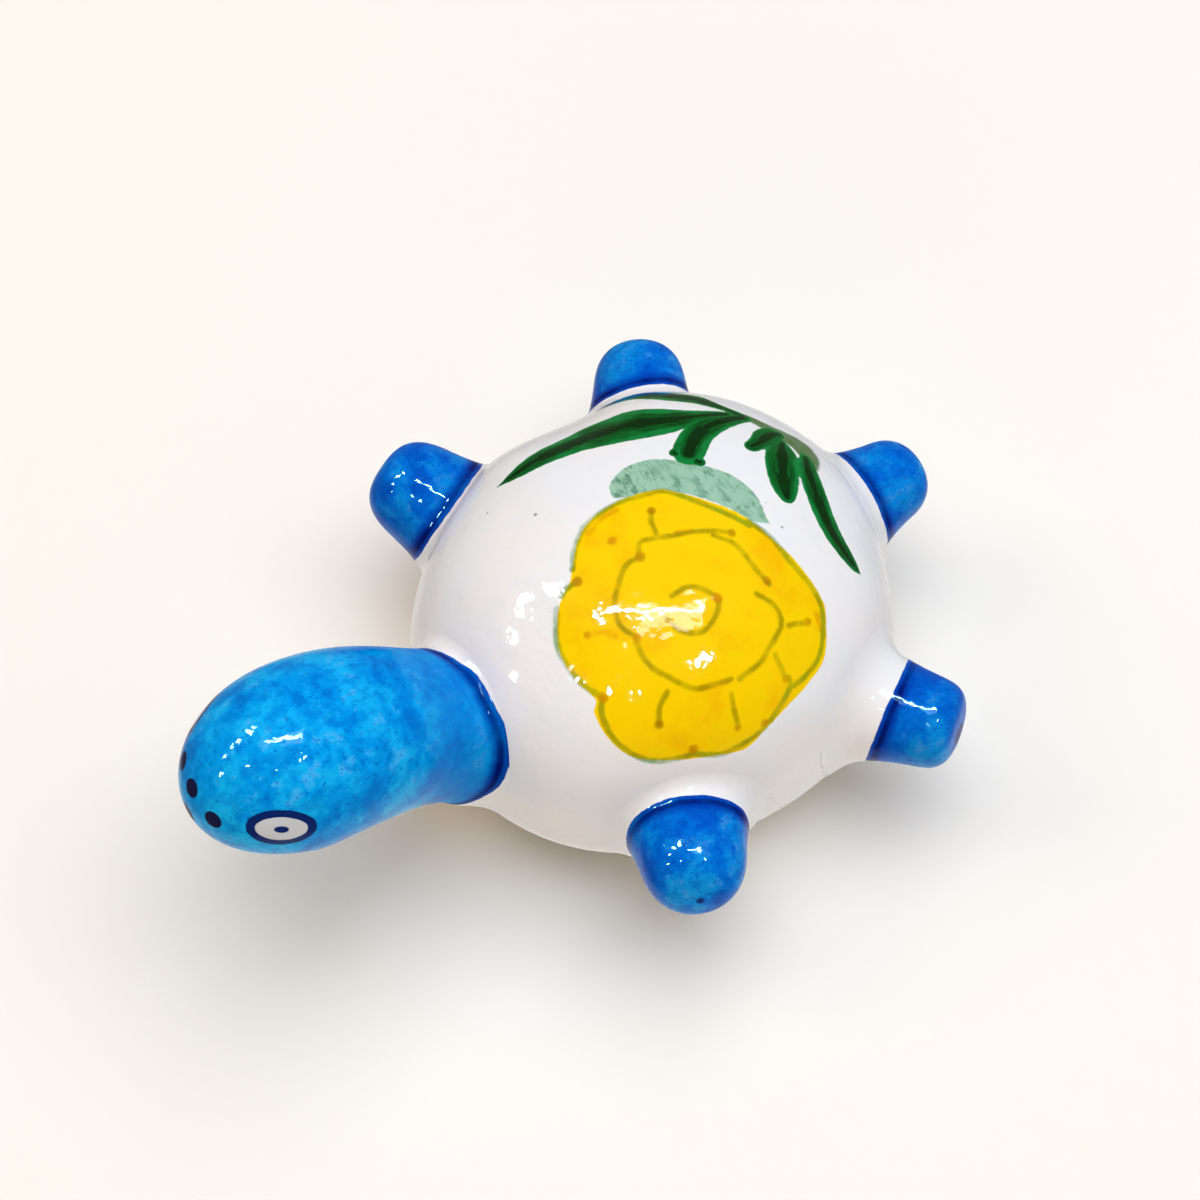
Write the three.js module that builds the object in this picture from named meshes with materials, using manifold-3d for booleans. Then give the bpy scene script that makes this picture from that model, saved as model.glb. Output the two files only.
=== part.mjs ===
// A tortoise paperweight in glazed earthenware. The body is a hollow shell pressed in two halves, and
// the head, the four legs and the tail are solid pieces luted onto it with slip before glazing.
// Millimetres, +Z up, head toward -Y, the tortoise's left on +X, origin in the middle of the flat foot.

import * as THREE from 'three';
import { mergeVertices } from 'three/addons/utils/BufferGeometryUtils.js';
import Module from 'manifold-3d';

// Body shell
const shellHalfWidth = 34.3;
const shellHalfLength = 37.9;
const seamHeight = 16.7; // the widest line, where the two halves are joined
const domeRise = 29.9; // from the seam to the top
const domeFullness = 2.3; // 2 is an ellipse, more is squarer
const bellyFullness = 2;
const footHalfWidth = 17;
const shellWall = 5;
const ventRadius = 4; // lets the air out of the hollow in the kiln
const ventBehindMiddle = 10.5;
const slipGap = 0.3; // the layer of slip between luted pieces

// Head and neck: the centre line leaves the base toward the brow and comes down to the nose
const neckBaseInset = 3.5; // behind the front of the shell
const neckBaseRise = 0.2; // this and the next two heights are above the seam
const browRise = 35.5;
const noseRise = 17.1;
const browStandOut = 17.7; // this and the next are ahead of the shell
const noseStandOut = 37.8;
const neckRadius = 9.8;
const headRadius = 13.7;
const crownDistance = 34.6; // from the neck base along the centre line to the widest part
const noseBluntness = 2.2; // 2 is an ellipse, more is blunter

// Legs and tail: bearings are degrees from the head, tilts are degrees above level
const frontLeftBearing = 64.6;
const frontRightBearing = 63.1;
const frontLegTilt = 16.7;
const frontLegRise = 3.4; // of the axis above the seam, at the skin of the shell
const frontLegStandOut = 14.1;
const frontLegWaist = 8.1; // radius of the limb before its flare is added
const frontLegTip = 7.8; // length of the rounded end
const frontLegTipFullness = 2.85;
const rearLeftBearing = 123.8;
const rearRightBearing = 120.1;
const rearLegTilt = 6.7;
const rearLegRise = 2.7;
const rearLegStandOut = 13.9;
const rearLegWaist = 7.5;
const rearLegTip = 6.6;
const rearLegTipFullness = 2.7;
const tailBearing = 180;
const tailTilt = 4.7;
const tailRise = 4.8;
const tailStandOut = 10.9;
const tailWaist = 6.5;
const tailTip = 5.3;
const tailTipFullness = 2.36;
const limbTaper = 0.08; // radius lost for each millimetre toward the end
const rootFlare = 1.6; // radius gained at the skin, where the slip is smoothed out
const flareLength = 4.8; // the flare falls off over this length
const flareDepth = 3; // how far under the skin the flare goes on growing
const rootDepth = 9; // how far a limb's blank starts under the skin, before its seat is cut

// Fineness of the facets
const shellTurns = 60;
const shellSteps = 10;
const headTurns = 36;
const headSteps = 14;
const limbTurns = 28;
const limbSteps = 8;
const neckSteps = 4;

const whiteGlaze = new THREE.MeshStandardMaterial({ color: 0xeceeee, roughness: 0.15, metalness: 0 });
const blueGlaze = new THREE.MeshStandardMaterial({ color: 0x2a86d0, roughness: 0.15, metalness: 0 });

const wasm = await Module();
wasm.setup();

// A closed geometry as a solid that can be cut: shared corners merged, triangles of no area left out.
function solidOf(geometry) {
  geometry.deleteAttribute('normal');
  geometry.deleteAttribute('uv');
  const merged = mergeVertices(geometry);
  const corners = merged.index.array;
  const kept = [];
  for (let i = 0; i < corners.length; i += 3) {
    const [a, b, c] = corners.slice(i, i + 3);
    if (a !== b && b !== c && c !== a) {
      kept.push(a, b, c);
    }
  }
  const vertProperties = merged.attributes.position.array;
  const triVerts = Uint32Array.from(kept);
  return new wasm.Manifold(new wasm.Mesh({ numProp: 3, vertProperties, triVerts }));
}

// A cut solid as a named mesh.
function meshOf(name, solid, material) {
  const cut = solid.getMesh();
  const geometry = new THREE.BufferGeometry();
  geometry.setAttribute('position', new THREE.BufferAttribute(cut.vertProperties, 3));
  geometry.setIndex(new THREE.BufferAttribute(cut.triVerts, 1));
  geometry.computeVertexNormals();
  const mesh = new THREE.Mesh(geometry, material);
  mesh.name = name;
  return mesh;
}

// A profile of radius and height turned about +Z.
function turned(profile, turns) {
  const geometry = new THREE.LatheGeometry(profile, turns);
  geometry.rotateX(Math.PI / 2);
  return geometry;
}

// One quarter of a superellipse, from its end on the horizontal axis (0) to its top (1).
function quarter(share, fullness) {
  const angle = (share * Math.PI) / 2;
  const across = Math.max(Math.cos(angle), 0) ** (2 / fullness);
  const up = Math.sin(angle) ** (2 / fullness);
  return { across, up };
}

// The oval body with its flat foot, grown all round by a margin, or shrunk by a negative one.
function bodyForm(margin) {
  const halfWidth = shellHalfWidth + margin;
  const halfLength = shellHalfLength + margin;
  const foot = footHalfWidth + margin;
  const profile = [new THREE.Vector2(0, -margin)];
  for (let i = shellSteps; i > 0; i -= 1) {
    const { across, up } = quarter(i / shellSteps, bellyFullness);
    const radius = foot + (halfWidth - foot) * across;
    profile.push(new THREE.Vector2(radius, seamHeight - (seamHeight + margin) * up));
  }
  for (let i = 0; i <= shellSteps; i += 1) {
    const { across, up } = quarter(i / shellSteps, domeFullness);
    profile.push(new THREE.Vector2(halfWidth * across, seamHeight + (domeRise + margin) * up));
  }
  const geometry = turned(profile, shellTurns);
  geometry.scale(1, halfLength / halfWidth, 1);
  return solidOf(geometry);
}

// A block that holds all of the body on one side of the seam, half a layer of slip away from it.
function sideOfSeam(direction) {
  const size = 4 * (shellHalfLength + domeRise + seamHeight);
  const block = new THREE.BoxGeometry(size, size, size);
  block.translate(0, 0, seamHeight + direction * (size + slipGap) / 2);
  return solidOf(block);
}

// The two shell halves: the dome, and the belly with the flat foot and its vent.
const shell = bodyForm(0).subtract(bodyForm(-shellWall));
const carapace = shell.intersect(sideOfSeam(1));
const ventDrill = new THREE.CylinderGeometry(ventRadius, ventRadius, 2 * seamHeight, limbTurns);
ventDrill.rotateX(Math.PI / 2);
ventDrill.translate(0, ventBehindMiddle, 0);
const plastron = shell.intersect(sideOfSeam(-1)).subtract(solidOf(ventDrill));

// What is cut out of every luted piece, so that it seats on the shell.
const seat = bodyForm(slipGap);

// The radius of the head and neck at a distance along the centre line: the neck swells to the crown,
// then rounds off to the nose, and behind its base it closes as a ball.
function headRadiusAt(distance, length) {
  if (distance < 0) {
    return Math.sqrt(Math.max(neckRadius ** 2 - distance ** 2, 0));
  }
  if (distance < crownDistance) {
    const swell = THREE.MathUtils.smoothstep(distance, 0, crownDistance);
    return neckRadius + (headRadius - neckRadius) * swell;
  }
  const share = Math.min((distance - crownDistance) / (length - crownDistance), 1);
  return headRadius * Math.sqrt(1 - share ** noseBluntness);
}

// The head and neck: a turned form bent along the centre line.
function headAndNeck() {
  const base = new THREE.Vector3(0, neckBaseInset - shellHalfLength, seamHeight + neckBaseRise);
  const brow = new THREE.Vector3(0, -shellHalfLength - browStandOut, seamHeight + browRise);
  const nose = new THREE.Vector3(0, -shellHalfLength - noseStandOut, seamHeight + noseRise);
  const centreLine = new THREE.CubicBezierCurve3(base, base, brow, nose);
  const length = centreLine.getLength();
  const profile = [];
  for (let i = 0; i < neckSteps; i += 1) {
    const distance = -neckRadius * Math.cos((i / neckSteps) * Math.PI / 2);
    profile.push(new THREE.Vector2(headRadiusAt(distance, length), distance));
  }
  for (let i = 0; i < headSteps; i += 1) {
    const distance = crownDistance * (i / headSteps);
    profile.push(new THREE.Vector2(headRadiusAt(distance, length), distance));
  }
  for (let i = 0; i <= headSteps; i += 1) {
    const distance = crownDistance + (length - crownDistance) * Math.sin((i / headSteps) * Math.PI / 2);
    profile.push(new THREE.Vector2(headRadiusAt(distance, length), distance));
  }
  const geometry = turned(profile, headTurns);
  const place = geometry.attributes.position;
  const across = new THREE.Vector3(1, 0, 0);
  for (let i = 0; i < place.count; i += 1) {
    const share = THREE.MathUtils.clamp(place.getZ(i) / length, 0, 1);
    const along = centreLine.getTangentAt(share);
    const over = new THREE.Vector3().crossVectors(along, across);
    const point = centreLine.getPointAt(share);
    point.addScaledVector(along, place.getZ(i) - share * length);
    point.addScaledVector(across, place.getX(i));
    point.addScaledVector(over, place.getY(i));
    place.setXYZ(i, point.x, point.y, point.z);
  }
  return solidOf(geometry).subtract(seat);
}

// A leg or the tail: a thimble-shaped stub that flares where it meets the shell. Its profile starts
// under the skin, and heights along it count from the skin of the shell at the seam.
function limb({ bearing, tilt, rise, standOut, waist, tip, tipFullness }) {
  const turn = THREE.MathUtils.degToRad(bearing);
  const lift = THREE.MathUtils.degToRad(tilt);
  const outward = new THREE.Vector3(Math.sin(turn), -Math.cos(turn), 0);
  const skin = 1 / Math.hypot(outward.x / shellHalfWidth, outward.y / shellHalfLength);
  const sideAt = (height) => waist - limbTaper * height + rootFlare * Math.exp(-height / flareLength);
  const profile = [new THREE.Vector2(0, -rootDepth), new THREE.Vector2(sideAt(-flareDepth), -rootDepth)];
  for (let i = 0; i < limbSteps; i += 1) {
    const height = -flareDepth + (standOut - tip + flareDepth) * (i / limbSteps);
    profile.push(new THREE.Vector2(sideAt(height), height));
  }
  for (let i = 0; i <= limbSteps; i += 1) {
    const { across, up } = quarter(i / limbSteps, tipFullness);
    const height = standOut - tip + tip * up;
    profile.push(new THREE.Vector2(sideAt(height) * across, height));
  }
  const geometry = turned(profile, limbTurns);
  const along = outward.clone().multiplyScalar(Math.cos(lift));
  along.z = Math.sin(lift);
  geometry.applyQuaternion(new THREE.Quaternion().setFromUnitVectors(new THREE.Vector3(0, 0, 1), along));
  geometry.translate(skin * outward.x, skin * outward.y, seamHeight + rise);
  return solidOf(geometry).subtract(seat);
}

const frontLeg = {
  tilt: frontLegTilt,
  rise: frontLegRise,
  standOut: frontLegStandOut,
  waist: frontLegWaist,
  tip: frontLegTip,
  tipFullness: frontLegTipFullness,
};
const rearLeg = {
  tilt: rearLegTilt,
  rise: rearLegRise,
  standOut: rearLegStandOut,
  waist: rearLegWaist,
  tip: rearLegTip,
  tipFullness: rearLegTipFullness,
};
const tail = {
  tilt: tailTilt,
  rise: tailRise,
  standOut: tailStandOut,
  waist: tailWaist,
  tip: tailTip,
  tipFullness: tailTipFullness,
};
const limbs = [
  { name: 'front_left_leg', bearing: frontLeftBearing, ...frontLeg },
  { name: 'front_right_leg', bearing: -frontRightBearing, ...frontLeg },
  { name: 'rear_left_leg', bearing: rearLeftBearing, ...rearLeg },
  { name: 'rear_right_leg', bearing: -rearRightBearing, ...rearLeg },
  { name: 'tail', bearing: tailBearing, ...tail },
];

const tortoise = new THREE.Group();
tortoise.add(meshOf('carapace', carapace, whiteGlaze));
tortoise.add(meshOf('plastron', plastron, whiteGlaze));
tortoise.add(meshOf('head_and_neck', headAndNeck(), blueGlaze));
for (const each of limbs) {
  tortoise.add(meshOf(each.name, limb(each), blueGlaze));
}

export default tortoise;
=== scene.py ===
import math

import bpy
import numpy as np
from mathutils import Matrix


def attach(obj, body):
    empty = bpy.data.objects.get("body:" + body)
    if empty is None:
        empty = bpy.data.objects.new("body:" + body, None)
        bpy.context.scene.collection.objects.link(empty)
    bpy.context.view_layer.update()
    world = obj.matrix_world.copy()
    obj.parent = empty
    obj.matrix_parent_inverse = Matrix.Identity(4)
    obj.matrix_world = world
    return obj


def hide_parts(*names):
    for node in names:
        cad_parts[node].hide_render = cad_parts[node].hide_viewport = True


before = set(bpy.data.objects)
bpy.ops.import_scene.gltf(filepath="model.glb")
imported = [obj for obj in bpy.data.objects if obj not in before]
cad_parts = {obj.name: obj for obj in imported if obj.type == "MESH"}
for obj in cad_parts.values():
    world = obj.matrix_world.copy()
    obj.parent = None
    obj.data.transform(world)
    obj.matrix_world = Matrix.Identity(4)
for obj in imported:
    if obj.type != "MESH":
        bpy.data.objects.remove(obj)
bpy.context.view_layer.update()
scene = bpy.context.scene

# Plastron
# The lower half of the body, pressed in earthenware with a flat foot to stand on and a vent that lets
# the air out of the hollow in the kiln. It is glazed white, and its foot is wiped bare before firing.
# Shapes are worked out in millimetres, head toward -Y, and put into the meshes in metres.
MM = 0.001
SHELL_HALF_WIDTH = 34.3
SHELL_HALF_LENGTH = 37.9
SEAM_HEIGHT = 16.7
FOOT_HALF_WIDTH = 17
SHELL_WALL = 5
VENT_RADIUS = 4
VENT_BEHIND_MIDDLE = 10.5
# Where hand pressing left the body fuller or flatter than an even oval: bearing from the head toward the
# tortoise's left and width in degrees, and height in millimetres
SWELLS = [
    (-136, 14, 0.9), (-117, 8, 0.8), (159, 8, -1), (-99, 9, -0.6), (-73, 7, 0.7), (111, 11, 0.3),
    (38, 17, 0.6),
]
# A swell fades in over these shares of the way out from the top, and these heights above the foot
SWELL_FROM_TOP = (0.4, 0.9)
SWELL_FROM_FOOT = (0, 12)
SHELL_TURNS = 480


def smooth_rise(value, low, high):
    """0 at low or less, 1 at high or more, and a smooth step between."""
    share = np.clip((value - low) / (high - low), 0, 1)
    return share ** 2 * (3 - 2 * share)


def swell(places):
    """How far the body stands proud of an even oval near points: a bell curve of the bearing for each
    swell, dying away toward the top and the foot."""
    out = np.hypot(places[..., 0] / SHELL_HALF_WIDTH, places[..., 1] / SHELL_HALF_LENGTH)
    bearing = np.degrees(np.arctan2(places[..., 0], -places[..., 1]))
    height = 0
    for middle, width, proud in SWELLS:
        turn = (bearing - middle + 180) % 360 - 180
        height = height + proud * np.exp(-(turn / width) ** 2 / 2)
    return height * smooth_rise(out, *SWELL_FROM_TOP) * smooth_rise(places[..., 2], *SWELL_FROM_FOOT)


def ring_of(radius, stretch, height):
    """Rings of an oval: radius and height hold one value for each ring, and the oval's half length is
    the radius, its half width, times the stretch."""
    turn = np.linspace(0, 2 * np.pi, SHELL_TURNS, endpoint=False)
    radius = np.asarray(radius, float)[:, None]
    height = np.asarray(height, float)[:, None] + 0 * turn
    return np.stack([radius * np.sin(turn), -radius * stretch * np.cos(turn), height], -1)


def belly_rings(margin, start, rows):
    """The belly grown by a margin: a quarter of an ellipse from the seam down to the edge of the flat
    foot. Start is the share of the quarter to begin from, 1 being the foot."""
    angle = np.linspace(start, 0, rows) * np.pi / 2
    foot = FOOT_HALF_WIDTH + margin
    radius = foot + (SHELL_HALF_WIDTH + margin - foot) * np.cos(angle)
    height = SEAM_HEIGHT - (SEAM_HEIGHT + margin) * np.sin(angle)
    stretch = (SHELL_HALF_LENGTH + margin) / (SHELL_HALF_WIDTH + margin)
    return ring_of(radius, stretch, height)


def between(first, last, rows):
    """Rings part way from one ring to another, without either of them."""
    share = np.linspace(0, 1, rows + 2)[1:-1, None, None]
    return first + (last - first) * share


def vent_ring(height):
    """The round edge of the vent at a height."""
    ring = ring_of([VENT_RADIUS], 1, [height])
    ring[..., 1] += VENT_BEHIND_MIDDLE
    return ring


def unit(vectors):
    """Vectors scaled to a length of 1."""
    return vectors / np.maximum(np.linalg.norm(vectors, axis=-1, keepdims=True), 1e-12)


def facing(grid):
    """Unit normals of a grid of rings: the cross product of its steps from ring to ring and its steps
    round the ring."""
    down = np.gradient(grid, axis=0, edge_order=2)
    round_ring = np.roll(grid, -1, 1) - np.roll(grid, 1, 1)
    return unit(np.cross(down, round_ring))


def ring_quads(rows, turns, closed):
    """Quads between each ring and the next, and from the last to the first where the rings close."""
    upper = np.arange(rows if closed else rows - 1)[:, None] * turns
    lower = (upper + turns) % (rows * turns)
    here = np.arange(turns)[None, :]
    there = (here + 1) % turns
    return np.stack([upper + here, upper + there, lower + there, lower + here], -1).reshape(-1, 4)


def fan(centre, ring_start, turns):
    """Triangles from a centre point to each step round a ring."""
    here = np.arange(turns)
    there = (here + 1) % turns
    return np.stack([np.full(turns, centre), ring_start + there, ring_start + here], -1)


def make_piece(name, places, normals, quads, triangles, marks, glaze, slot):
    """A smooth closed mesh from its points, normals and faces, with one attribute for each painted
    mark. It rides on the part's one body and takes the place of the node of its name."""
    corners = np.concatenate([quads.ravel(), triangles.ravel()]).astype(np.int32)
    starts = np.concatenate([np.arange(len(quads)) * 4, len(quads) * 4 + np.arange(len(triangles)) * 3])
    mesh = bpy.data.meshes.new(name)
    mesh.vertices.add(len(places))
    mesh.vertices.foreach_set("co", (places * MM).ravel())
    mesh.loops.add(len(corners))
    mesh.loops.foreach_set("vertex_index", corners)
    mesh.polygons.add(len(starts))
    mesh.polygons.foreach_set("loop_start", starts.astype(np.int32))
    mesh.update(calc_edges=True)
    mesh.polygons.foreach_set("use_smooth", np.ones(len(starts), bool))
    mesh.normals_split_custom_set_from_vertices(normals)
    for mark, values in marks.items():
        mesh.attributes.new(mark, "FLOAT", "POINT").data.foreach_set("value", values.astype(np.float32))
    mesh.materials.append(glaze)
    piece = bpy.data.objects.new(name, mesh)
    scene.collection.objects.link(piece)
    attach(piece, "root")
    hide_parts(name)


GLAZE_IOR = 1.45
GLAZE_WAVES = 0.6


class Glaze:
    """A socket in a glaze's node tree. Arithmetic on it adds Math nodes, and node adds any other kind."""

    def __init__(self, tree, socket=None):
        self.tree = tree
        self.socket = socket

    def node(self, kind, settings, inputs, output=0):
        """Adds a node, sets its settings, fills or links its inputs, and gives one of its outputs."""
        made = self.tree.nodes.new(kind)
        for name, value in settings.items():
            setattr(made, name, value)
        for name, value in inputs.items():
            if isinstance(value, Glaze):
                self.tree.links.new(value.socket, made.inputs[name])
            else:
                made.inputs[name].default_value = value
        return Glaze(self.tree, made.outputs[output])

    def maths(self, operation, first, second):
        """A Math node of that operation."""
        return self.node("ShaderNodeMath", {"operation": operation}, {0: first, 1: second})

    def vector(self, operation, first, second, output=0):
        """A Vector Math node of that operation."""
        return self.node("ShaderNodeVectorMath", {"operation": operation}, {0: first, 1: second}, output)

    def axis(self, name):
        """One coordinate of this point or direction."""
        return self.node("ShaderNodeSeparateXYZ", {}, {0: self}, name)

    def __add__(self, other):
        return self.maths("ADD", self, other)

    __radd__ = __add__

    def __sub__(self, other):
        return self.maths("SUBTRACT", self, other)

    def __rsub__(self, other):
        return self.maths("SUBTRACT", other, self)

    def __mul__(self, other):
        return self.maths("MULTIPLY", self, other)

    __rmul__ = __mul__

    def most(self, other):
        """The larger of the two."""
        return self.maths("MAXIMUM", self, other)

    def rising(self, low, high):
        """0 where this is low or less, 1 where it is high or more, and a smooth step between."""
        edges = {"Value": self, "From Min": low, "From Max": high}
        return self.node("ShaderNodeMapRange", {"interpolation_type": "SMOOTHSTEP"}, edges)

    def falling(self, low, high):
        """1 where this is low or less, 0 where it is high or more, and a smooth step between."""
        return 1 - self.rising(low, high)

    def coat(self, under, over):
        """One colour laid over another, where this is the share of the upper one."""
        return self.node("ShaderNodeMix", {"data_type": "RGBA"}, {0: self, 6: under, 7: over}, 2)

    def place(self):
        """The point on the piece, in metres."""
        return self.node("ShaderNodeTexCoord", {}, {}, "Object")

    def mark(self, name):
        """One of the piece's own painted marks."""
        return self.node("ShaderNodeAttribute", {"attribute_name": name}, {}, "Fac")

    def clouds(self, size, detail=2.0, roughness=0.5, where=None):
        """Soft noise from 0 to 1 with patches of about that size in millimetres."""
        inputs = {"Scale": 1 / (size * MM), "Detail": detail, "Roughness": roughness}
        inputs["Vector"] = where or self.place()
        return self.node("ShaderNodeTexNoise", {}, inputs, "Fac")

    def stretched(self, ways):
        """The point on the piece with each axis drawn out or in, for noise that runs one way."""
        return self.vector("MULTIPLY", self.place(), ways)

    def specks(self, spacing, radius, share):
        """Round specks on a jittered lattice, kept in that share of its cells."""
        inputs = {"Vector": self.place(), "Scale": 1 / (spacing * MM)}
        cell = self.node("ShaderNodeTexVoronoi", {}, inputs, "Distance")
        tint = self.node("ShaderNodeTexVoronoi", {}, inputs, "Color")
        chance = self.node("ShaderNodeSeparateColor", {}, {"Color": tint}, "Red")
        return cell.falling(0.6 * radius / spacing, radius / spacing) * chance.falling(share, share + 0.02)

    def gloss(self):
        """The roughness of a shiny glaze, a little more in some patches than in others."""
        return self.clouds(5) * 0.04 + 0.03

    def waves(self):
        """The height of the glaze's uneven skin: slow waves, finer ripples and pinholes."""
        waves = self.clouds(13, 1) * 0.7 + self.clouds(5, 2) * 0.38
        return waves + self.clouds(1.9, 2) * 0.09 - self.specks(2.6, 0.3, 0.12) * 0.012

    def fire(self, colour, roughness, tint=(1, 1, 1, 1), calm=None):
        """Joins colour, roughness and the glaze's uneven skin to the shader. Tint is the colour of what
        the glaze mirrors, and calm the share of the skin that mirrors nothing."""
        shader = self.tree.nodes["Principled BSDF"]
        normal = self.node("ShaderNodeBump", {}, {"Distance": GLAZE_WAVES * MM, "Height": self.waves()})
        for name, value in {"Base Color": colour, "Roughness": roughness, "Normal": normal}.items():
            self.tree.links.new(value.socket, shader.inputs[name])
        shader.inputs["IOR"].default_value = GLAZE_IOR
        shader.inputs["Specular Tint"].default_value = tint
        if calm:
            shiny = Glaze(self.tree, shader.outputs[0])
            inputs = {"Base Color": colour, "Normal": normal, "Specular IOR Level": 0.0}
            dull = self.node("ShaderNodeBsdfPrincipled", {}, inputs)
            mixed = self.node("ShaderNodeMixShader", {}, {0: calm, 1: shiny, 2: dull})
            self.tree.links.new(mixed.socket, self.tree.nodes["Material Output"].inputs["Surface"])


def new_glaze(name):
    """An empty material with its node tree."""
    material = bpy.data.materials.new(name)
    material.use_nodes = True
    return material, Glaze(material.node_tree)


WARM_WHITE = (0.88, 0.87, 0.86, 1)
COOL_WHITE = (0.84, 0.865, 0.885, 1)
IRON_SPECK = (0.14, 0.09, 0.05, 1)


def white_ground(glaze):
    """The white glaze over the clay: cool and warm clouds, a fine grain, and iron specks."""
    cloud = glaze.clouds(14, 3) * 0.75 + glaze.clouds(1.6, 3, 0.6) * 0.25
    colour = cloud.rising(0.4, 0.62).coat(WARM_WHITE, COOL_WHITE)
    fine = glaze.specks(1.7, 0.12, 0.2) * 0.45
    specks = glaze.specks(7, 0.34, 0.4).most(glaze.specks(3.3, 0.2, 0.28) * 0.7).most(fine)
    return (specks * 0.7).coat(colour, IRON_SPECK)


BARE_CLAY = (0.62, 0.5, 0.4, 1)
PALE_CLAY = (0.75, 0.63, 0.52, 1)
BARE_ROUGHNESS = 0.55
plastron_glaze, glaze = new_glaze("plastron_glaze")
level = glaze.place().axis("Z") * (1 / MM)
bare = (level + glaze.clouds(2.2, 3) * 0.5).falling(0.45, 0.6)
clay = glaze.clouds(0.9, 4, 0.7).coat(BARE_CLAY, PALE_CLAY)
colour = bare.coat(white_ground(glaze), clay)
glaze.fire(colour, glaze.gloss() + bare * BARE_ROUGHNESS)

HOLLOW_FLOOR_SHARE = 0.86
outer = belly_rings(margin=0, start=1, rows=70)[::-1]
outer = outer + swell(outer)[..., None] * facing(outer)
foot_plate = between(outer[-1:], vent_ring(0), rows=8)
inner = belly_rings(margin=-SHELL_WALL, start=HOLLOW_FLOOR_SHARE, rows=16)
vent_top = inner[0, 0, 2]
vent_wall = between(vent_ring(0), vent_ring(vent_top), rows=2)
floor_plate = between(vent_ring(vent_top), inner[:1], rows=4)
rings = [outer, foot_plate, vent_ring(0), vent_wall, vent_ring(vent_top), floor_plate, inner]
grid = np.concatenate(rings)
normals = np.concatenate([facing(outer), facing(grid[len(outer):])])
normals[len(outer):len(outer) + len(foot_plate) + 1] = (0, 0, -1)
# Seen from its top the shell's rings run the other way round from a limb's, so its faces are reversed
quads = ring_quads(len(grid), SHELL_TURNS, closed=True)[:, ::-1]
no_triangles = np.zeros((0, 3), int)
make_piece("plastron", grid.reshape(-1, 3), normals.reshape(-1, 3), quads, no_triangles, {},
           plastron_glaze, "white_glaze")

# Carapace
# The upper half of the body, pressed as a smooth dome and joined to the lower half with slip. It is
# glazed white and painted by hand with a yellow flower, its green leaves and a pale green sepal.
DOME_RISE = 29.9
DOME_FULLNESS = 2.3
DOME_SAMPLES = 4001
FAR_FROM_BRUSH = 9.0
BRUSH_REACH = 3


def dome_rings(margin, rows):
    """The dome grown by a margin, from just under its top to the seam: a quarter of a superellipse,
    whose radius and height are powers of cosine and sine, on rings evenly spaced along it."""
    angle = np.linspace(np.pi / 2, 0, DOME_SAMPLES)
    radius = (SHELL_HALF_WIDTH + margin) * np.maximum(np.cos(angle), 0) ** (2 / DOME_FULLNESS)
    height = SEAM_HEIGHT + (DOME_RISE + margin) * np.sin(angle) ** (2 / DOME_FULLNESS)
    run = np.concatenate([[0], np.cumsum(np.hypot(np.diff(radius), np.diff(height)))])
    even = np.linspace(0, run[-1], rows + 1)[1:]
    stretch = (SHELL_HALF_LENGTH + margin) / (SHELL_HALF_WIDTH + margin)
    return ring_of(np.interp(even, run, radius), stretch, np.interp(even, run, height))


def on_dome(plan):
    """Points seen from above, lifted onto the dome."""
    out = np.hypot(plan[:, 0] / SHELL_HALF_WIDTH, plan[:, 1] / SHELL_HALF_LENGTH)
    rise = np.maximum(1 - out ** DOME_FULLNESS, 0) ** (1 / DOME_FULLNESS)
    return np.column_stack([plan[:, :2], SEAM_HEIGHT + DOME_RISE * rise])


def painted_path(points, steps=8):
    """A smooth line through the points, a Catmull-Rom spline: its slope at a point is half the step
    from the point before to the point after."""
    p = np.asarray(points, float)
    p = np.vstack([2 * p[0] - p[1], p, 2 * p[-1] - p[-2]])
    a, b, c, d = p[:-3, None], p[1:-2, None], p[2:-1, None], p[3:, None]
    u = np.linspace(0, 1, steps, endpoint=False)[None, :, None]
    square = a - 2.5 * b + 2 * c - 0.5 * d
    cube = 1.5 * (b - c) + 0.5 * (d - a)
    line = b + u * (c - a) / 2 + u ** 2 * square + u ** 3 * cube
    return np.vstack([line.reshape(-1, p.shape[1]), p[-2]])


def brushed(places, strokes):
    """How far points are from the edge of the nearest brush stroke, less than 0 inside it, with how
    far across it they are, 0 on its spine and 1 on its edge, and how far along it. A stroke is a line
    of plan points, each with the half width of the brush there."""
    edge = np.full(len(places), FAR_FROM_BRUSH)
    across = np.ones(len(places))
    along = np.zeros(len(places))
    for stroke in strokes:
        path = painted_path(stroke)
        line = on_dome(path)
        width = np.maximum(path[:, 2], 0.02)
        step = np.diff(line, axis=0)
        length = np.linalg.norm(step, axis=1)
        run = np.concatenate([[0], np.cumsum(length)])
        reach = width.max() + BRUSH_REACH
        near = ((places > line.min(0) - reach) & (places < line.max(0) + reach)).all(1).nonzero()[0]
        offset = places[near][:, None] - line[:-1]
        share = np.clip(np.einsum("ijk,jk->ij", offset, step) / length ** 2, 0, 1)
        gap = np.linalg.norm(offset - share[..., None] * step, axis=-1)
        half = width[:-1] + share * np.diff(width)
        best = (gap - half).argmin(1)
        row = np.arange(len(near))
        found = (gap - half)[row, best]
        closer = found < edge[near]
        picked = near[closer]
        edge[picked] = found[closer]
        across[picked] = (gap / half)[row, best][closer]
        along[picked] = (run[:-1] + share * length)[row, best][closer]
    return edge, across, along


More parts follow.
